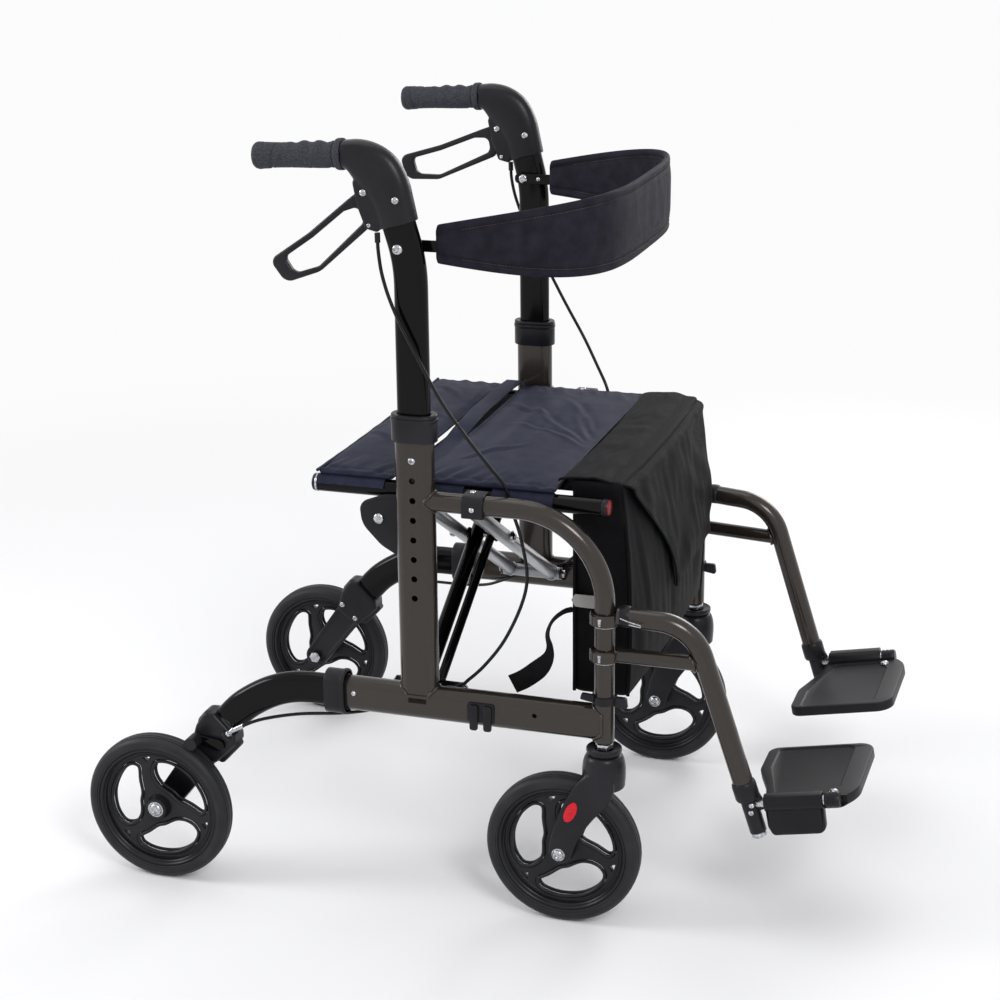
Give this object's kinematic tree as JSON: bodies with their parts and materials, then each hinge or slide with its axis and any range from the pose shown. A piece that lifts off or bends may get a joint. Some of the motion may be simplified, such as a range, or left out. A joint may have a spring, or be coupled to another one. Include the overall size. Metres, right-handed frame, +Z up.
{
  "type": "rollator",
  "caption": "Folding rollator that turns into a transport chair: wheeled side frames on a cross brace, sling seat, bag, back strap, height-adjusted brake handles and swing-away footrests.",
  "frame": {"origin": "on the floor, midway along the length and on the centre plane between the side frames", "axes": "+X is the way it rolls, +Y its left side, +Z up"},
  "size_m": [1.0054, 0.6186, 0.9831],
  "materials": {
    "bronze_paint": "metallic gloss paint",
    "black_paint": "gloss powder coat",
    "grey_paint": "metallic gloss paint",
    "black_plastic": "fine moulded grain",
    "wheel_plastic": "smooth moulded",
    "bolt_steel": "bright zinc",
    "grip_rubber": "soft textured",
    "tyre_rubber": "ribbed",
    "seat_cloth": "padded woven nylon",
    "black_cloth": "woven nylon",
    "cable_sheath": "satin vinyl"
  },
  "bodies": {
    "right_frame": {"post_right": "bronze_paint", "lower_rail_right": "bronze_paint", "front_frame_right": "bronze_paint", "post_collar_right": "black_plastic", "rail_clip_right": "black_plastic", "rear_leg_right": "black_paint", "rear_shank_right": "black_plastic", "rear_axle_right": "bolt_steel", "caster_bearing_right": "bolt_steel", "brake_cable_right": "cable_sheath"},
    "rear_wheel_right": {"rear_wheel_right": "wheel_plastic", "rear_tyre_right": "tyre_rubber"},
    "brake_right": {"brake_shoe_right": "black_plastic"},
    "caster_right": {"caster_fork_right": "black_plastic"},
    "caster_wheel_right": {"caster_wheel_right": "wheel_plastic", "caster_tyre_right": "tyre_rubber"},
    "handle_right": {"handle_tube_right": "black_paint", "handle_housing_right": "black_plastic", "grip_right": "grip_rubber"},
    "lever_right": {"brake_lever_right": "black_plastic"},
    "hanger_right": {"hanger_right": "bronze_paint", "foot_bracket_right": "black_paint"},
    "footplate_right": {"footplate_right": "black_plastic"},
    "left_frame": {"post_left": "bronze_paint", "lower_rail_left": "bronze_paint", "front_frame_left": "bronze_paint", "post_collar_left": "black_plastic", "rail_clip_left": "black_plastic", "rear_leg_left": "black_paint", "rear_shank_left": "black_plastic", "rear_axle_left": "bolt_steel", "caster_bearing_left": "bolt_steel", "brake_cable_left": "cable_sheath"},
    "rear_wheel_left": {"rear_wheel_left": "wheel_plastic", "rear_tyre_left": "tyre_rubber"},
    "brake_left": {"brake_shoe_left": "black_plastic"},
    "caster_left": {"caster_fork_left": "black_plastic"},
    "caster_wheel_left": {"caster_wheel_left": "wheel_plastic", "caster_tyre_left": "tyre_rubber"},
    "handle_left": {"handle_tube_left": "black_paint", "handle_housing_left": "black_plastic", "grip_left": "grip_rubber"},
    "lever_left": {"brake_lever_left": "black_plastic"},
    "hanger_left": {"hanger_left": "bronze_paint", "foot_bracket_left": "black_paint"},
    "footplate_left": {"footplate_left": "black_plastic"},
    "inner_arm": {"cross_arm_inner": "black_paint", "seat_rail_left": "black_paint"},
    "outer_arm": {"cross_arm_outer": "grey_paint", "cross_bolt": "bolt_steel", "seat_rail_right": "black_paint", "seat_pad_rear": "seat_cloth", "seat_pad_front": "seat_cloth", "bag": "black_cloth", "bag_flap": "black_cloth"},
    "strap_right": {"strap_arm_right": "black_paint", "back_strap": "black_cloth"},
    "strap_left": {"strap_arm_left": "black_paint"}
  },
  "joints": [
    {"name": "fold", "type": "hinge", "parent": "right_frame", "child": "inner_arm", "pos_m": [-0.04866, -0.222, 0.285], "axis": [1, 0, 0], "range_deg": [0, 21], "deforming": ["seat_pad_rear", "seat_pad_front", "bag", "bag_flap", "back_strap"]},
    {"name": "scissor", "type": "hinge", "parent": "inner_arm", "child": "outer_arm", "pos_m": [-0.04866, 0, 0.415], "axis": [1, 0, 0], "range_deg": [-42, 0]},
    {"name": "left_fold", "type": "hinge", "parent": "outer_arm", "child": "left_frame", "pos_m": [-0.04866, 0.222, 0.285], "axis": [1, 0, 0], "range_deg": [0, 21]},
    {"name": "handle_slide_right", "type": "slide", "parent": "right_frame", "child": "handle_right", "axis": [0, 0, 1], "range_m": [-0.1524, 0], "deforming": ["brake_cable_right"]},
    {"name": "lever_right", "type": "hinge", "parent": "handle_right", "child": "lever_right", "pos_m": [-0.09967, -0.256, 0.922], "axis": [0, 1, 0], "range_deg": [0, 40], "stiffness_Nm_per_rad": 4},
    {"name": "brake_right", "type": "hinge", "parent": "right_frame", "child": "brake_right", "pos_m": [-0.32066, -0.2565, 0.19], "axis": [0, 1, 0], "range_deg": [0, 7], "stiffness_Nm_per_rad": 2},
    {"name": "rear_wheel_spin_right", "type": "hinge", "parent": "right_frame", "child": "rear_wheel_right", "pos_m": [-0.40266, -0.29, 0.1], "axis": [0, 1, 0], "continuous": true},
    {"name": "caster_swivel_right", "type": "hinge", "parent": "right_frame", "child": "caster_right", "pos_m": [0.19134, -0.251, 0.1], "axis": [0, 0, 1], "continuous": true},
    {"name": "caster_spin_right", "type": "hinge", "parent": "caster_right", "child": "caster_wheel_right", "pos_m": [0.13933, -0.251, 0.1], "axis": [0, 1, 0], "continuous": true},
    {"name": "hanger_swing_right", "type": "hinge", "parent": "right_frame", "child": "hanger_right", "pos_m": [0.19134, -0.251, 0.367], "axis": [0, 0, 1], "range_deg": [-90, 0]},
    {"name": "footplate_flip_right", "type": "hinge", "parent": "hanger_right", "child": "footplate_right", "pos_m": [0.37253, -0.23674, 0.185], "axis": [0.9823, 0, 0.1874], "range_deg": [0, 80]},
    {"name": "handle_slide_left", "type": "slide", "parent": "left_frame", "child": "handle_left", "axis": [0, 0, 1], "range_m": [-0.1524, 0], "deforming": ["brake_cable_left"]},
    {"name": "lever_left", "type": "hinge", "parent": "handle_left", "child": "lever_left", "pos_m": [-0.09967, 0.256, 0.922], "axis": [0, 1, 0], "range_deg": [-18, 22], "stiffness_Nm_per_rad": 4},
    {"name": "brake_left", "type": "hinge", "parent": "left_frame", "child": "brake_left", "pos_m": [-0.32066, 0.2565, 0.19], "axis": [0, 1, 0], "range_deg": [-7, 0], "stiffness_Nm_per_rad": 2},
    {"name": "rear_wheel_spin_left", "type": "hinge", "parent": "left_frame", "child": "rear_wheel_left", "pos_m": [-0.40266, 0.29, 0.1], "axis": [0, 1, 0], "continuous": true},
    {"name": "caster_swivel_left", "type": "hinge", "parent": "left_frame", "child": "caster_left", "pos_m": [0.19134, 0.251, 0.1], "axis": [0, 0, 1], "continuous": true},
    {"name": "caster_spin_left", "type": "hinge", "parent": "caster_left", "child": "caster_wheel_left", "pos_m": [0.13933, 0.251, 0.1], "axis": [0, 1, 0], "continuous": true},
    {"name": "hanger_swing_left", "type": "hinge", "parent": "left_frame", "child": "hanger_left", "pos_m": [0.19134, 0.251, 0.367], "axis": [0, 0, 1], "range_deg": [0, 90]},
    {"name": "footplate_flip_left", "type": "hinge", "parent": "hanger_left", "child": "footplate_left", "pos_m": [0.37253, 0.23674, 0.185], "axis": [0.9823, 0, 0.1874], "range_deg": [-80, 0]},
    {"name": "strap_flip", "type": "hinge", "parent": "handle_right", "child": "strap_right", "pos_m": [-0.05967, -0.2365, 0.856], "axis": [0, 1, 0], "range_deg": [-180, 0]},
    {"name": "strap_flip_left", "type": "hinge", "parent": "handle_left", "child": "strap_left", "pos_m": [-0.05967, 0.2365, 0.856], "axis": [0, 1, 0], "range_deg": [-180, 0]}
  ],
  "couplings": [
    {"joint": "scissor", "follows": "fold", "ratio": -2},
    {"joint": "left_fold", "follows": "fold", "ratio": 1},
    {"joint": "handle_slide_left", "follows": "handle_slide_right", "ratio": 1},
    {"joint": "strap_flip_left", "follows": "strap_flip", "ratio": 1}
  ]
}
